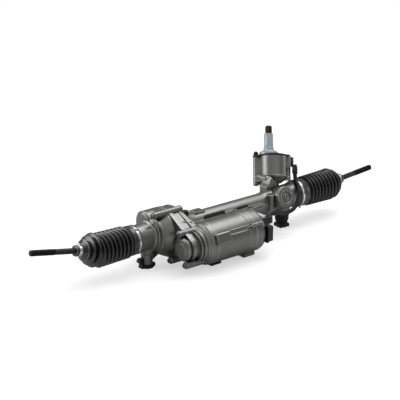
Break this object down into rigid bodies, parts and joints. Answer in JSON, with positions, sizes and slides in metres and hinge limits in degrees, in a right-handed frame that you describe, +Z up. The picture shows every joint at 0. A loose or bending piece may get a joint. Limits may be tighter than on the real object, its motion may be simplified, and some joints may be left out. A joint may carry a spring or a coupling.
{
  "type": "steering rack",
  "caption": "Electric power steering rack with an axle-parallel belt-driven motor, bellows boots, tie rods and a leaning pinion tower with torque sensor.",
  "frame": {"origin": "midway between the two vertical mounting bolts, on the plane that the feet are bolted to", "axes": "+X along the rack towards the pinion end, +Y to the side away from the motor, +Z up"},
  "size_m": [1.0603, 0.2308, 0.2362],
  "materials": {
    "cast_aluminium": "shot-blasted die casting",
    "machined_steel": "ground steel",
    "bright_clamp": "stainless band",
    "zinc_steel": "zinc plated",
    "spline_steel": "oiled dark steel",
    "black_steel": "black phosphated steel",
    "boot_rubber": "satin moulded rubber",
    "bush_rubber": "matte rubber",
    "black_plastic": "glass-filled nylon",
    "white_plastic": "acetal",
    "belt_rubber": "toothed belt",
    "copper": "enamelled copper wire",
    "board": "circuit board"
  },
  "bodies": {
    "housing": {"gearbox_cover": "cast_aluminium", "main_housing": "cast_aluminium", "motor_housing": "cast_aluminium", "control_housing": "cast_aluminium", "sensor_housing": "cast_aluminium", "pulley_access_cap": "cast_aluminium", "ball_nut_bearing": "machined_steel", "motor_bearings": "machined_steel", "pinion_bearings": "machined_steel", "bearing_retainer": "machined_steel", "mount_cores": "machined_steel", "bearing_carriers": "machined_steel", "yoke_spring": "machined_steel", "boot_clamps": "bright_clamp", "control_screws": "zinc_steel", "input_sleeve": "zinc_steel", "case_bolts": "black_steel", "stator_core": "black_steel", "pinion_cap": "black_steel", "left_boot": "boot_rubber", "right_boot": "boot_rubber", "left_mount_bush": "bush_rubber", "right_mount_bush": "bush_rubber", "rack_stops": "bush_rubber", "sensor_bolts": "bush_rubber", "vent_plug": "black_plastic", "power_connector": "black_plastic", "signal_connector": "black_plastic", "sensor_plug": "black_plastic", "harness_plug": "black_plastic", "yoke_plug": "black_plastic", "yoke": "black_plastic", "sensor_harness": "black_plastic", "torque_sensor": "black_plastic", "sensor_cover": "black_plastic", "rack_bush": "white_plastic", "lock_slide": "white_plastic", "drive_belt": "belt_rubber", "stator_windings": "copper", "control_board": "board"},
    "motor_rotor": {"motor_shaft": "machined_steel", "rotor": "black_steel", "small_pulley": "machined_steel"},
    "ball_nut_body": {"ball_nut": "machined_steel", "large_pulley": "machined_steel"},
    "rack": {"rack_bar": "machined_steel", "left_ball_socket": "machined_steel", "right_ball_socket": "machined_steel"},
    "pinion_body": {"pinion": "machined_steel", "torsion_bar": "machined_steel"},
    "input_body": {"input_shaft": "spline_steel"},
    "left_seat": {"left_ball_liner": "white_plastic"},
    "right_seat": {"right_ball_liner": "white_plastic"},
    "left_neck": {"left_small_clamp": "bright_clamp"},
    "right_neck": {"right_small_clamp": "bright_clamp"},
    "left_rod": {"left_tie_rod": "black_steel"},
    "right_rod": {"right_tie_rod": "black_steel"}
  },
  "joints": [
    {"name": "motor_spin", "type": "hinge", "parent": "housing", "child": "motor_rotor", "pos_m": [0, -0.086, 0.058], "axis": [1, 0, 0], "range_deg": [-10000, 10000]},
    {"name": "ball_nut_spin", "type": "hinge", "parent": "housing", "child": "ball_nut_body", "pos_m": [0, 0, 0.075], "axis": [1, 0, 0], "range_deg": [-3850, 3850]},
    {"name": "rack_slide", "type": "slide", "parent": "housing", "child": "rack", "axis": [1, 0, 0], "range_m": [-0.075, 0.075], "deforming": ["left_boot", "right_boot"]},
    {"name": "pinion_turn", "type": "hinge", "parent": "housing", "child": "pinion_body", "pos_m": [0.185, 0.01618, 0.06846], "axis": [0.3007, 0.3573, 0.8843], "range_deg": [-488, 488]},
    {"name": "input_twist", "type": "hinge", "parent": "pinion_body", "child": "input_body", "pos_m": [0.185, 0.01618, 0.06846], "axis": [0.3007, 0.3573, 0.8843], "range_deg": [-4.5, 4.5], "stiffness_Nm_per_rad": 120},
    {"name": "left_ball_yaw", "type": "hinge", "parent": "rack", "child": "left_seat", "pos_m": [-0.3475, 0, 0.075], "axis": [0, 0, 1], "range_deg": [-17.5, 22.5]},
    {"name": "left_ball_pitch", "type": "hinge", "parent": "left_seat", "child": "left_neck", "pos_m": [-0.3475, 0, 0.075], "axis": [0.0436, 0.999, 0], "range_deg": [-30.5, 9.5]},
    {"name": "left_rod_spin", "type": "hinge", "parent": "left_neck", "child": "left_rod", "pos_m": [-0.3475, 0, 0.075], "axis": [-0.9823, 0.0429, 0.1822], "continuous": true},
    {"name": "right_ball_yaw", "type": "hinge", "parent": "rack", "child": "right_seat", "pos_m": [0.355, 0, 0.075], "axis": [0, 0, 1], "range_deg": [-22.5, 17.5]},
    {"name": "right_ball_pitch", "type": "hinge", "parent": "right_seat", "child": "right_neck", "pos_m": [0.355, 0, 0.075], "axis": [0.0436, -0.999, 0], "range_deg": [-23, 17]},
    {"name": "right_rod_spin", "type": "hinge", "parent": "right_neck", "child": "right_rod", "pos_m": [0.355, 0, 0.075], "axis": [0.9977, 0.0436, 0.0523], "continuous": true}
  ],
  "couplings": [
    {"joint": "ball_nut_spin", "follows": "motor_spin", "ratio": 0.38462},
    {"joint": "rack_slide", "follows": "motor_spin", "m_per_rad": 0.00042849},
    {"joint": "pinion_turn", "follows": "motor_spin", "ratio": 0.04865}
  ]
}
